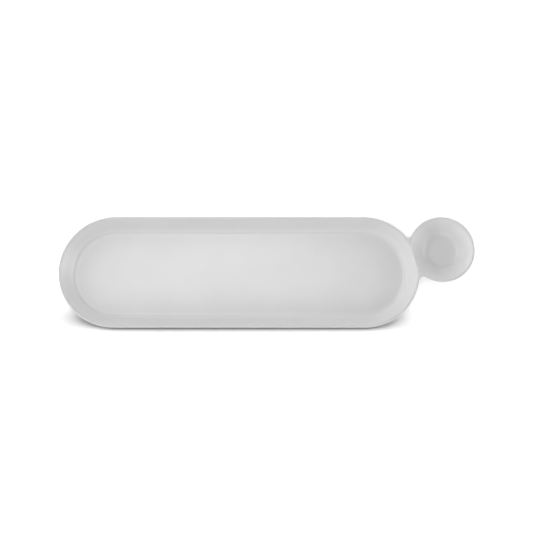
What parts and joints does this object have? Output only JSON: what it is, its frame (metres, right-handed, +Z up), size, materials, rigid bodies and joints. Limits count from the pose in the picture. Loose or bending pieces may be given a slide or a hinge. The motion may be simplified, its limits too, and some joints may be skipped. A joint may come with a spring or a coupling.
{
  "type": "divided serving plate",
  "caption": "Long pill-shaped porcelain serving tray with a small round dip bowl joined to its far right end by a shared rounded ridge, standing on bare foot rings.",
  "frame": {"origin": "on the table, under the middle of the whole plate's box", "axes": "+X along the tray towards the dip bowl, +Y away from the person served, +Z up"},
  "size_m": [0.404, 0.1086, 0.02],
  "materials": {
    "glaze": "clear glossy glaze over white porcelain",
    "bare_clay": "unglazed, matt, fine-grained"
  },
  "bodies": {
    "root": {"tray": "glaze", "dip_bowl": "glaze", "divider": "glaze", "tray_foot_ring": "bare_clay", "bowl_foot_ring": "bare_clay"}
  },
  "joints": []
}
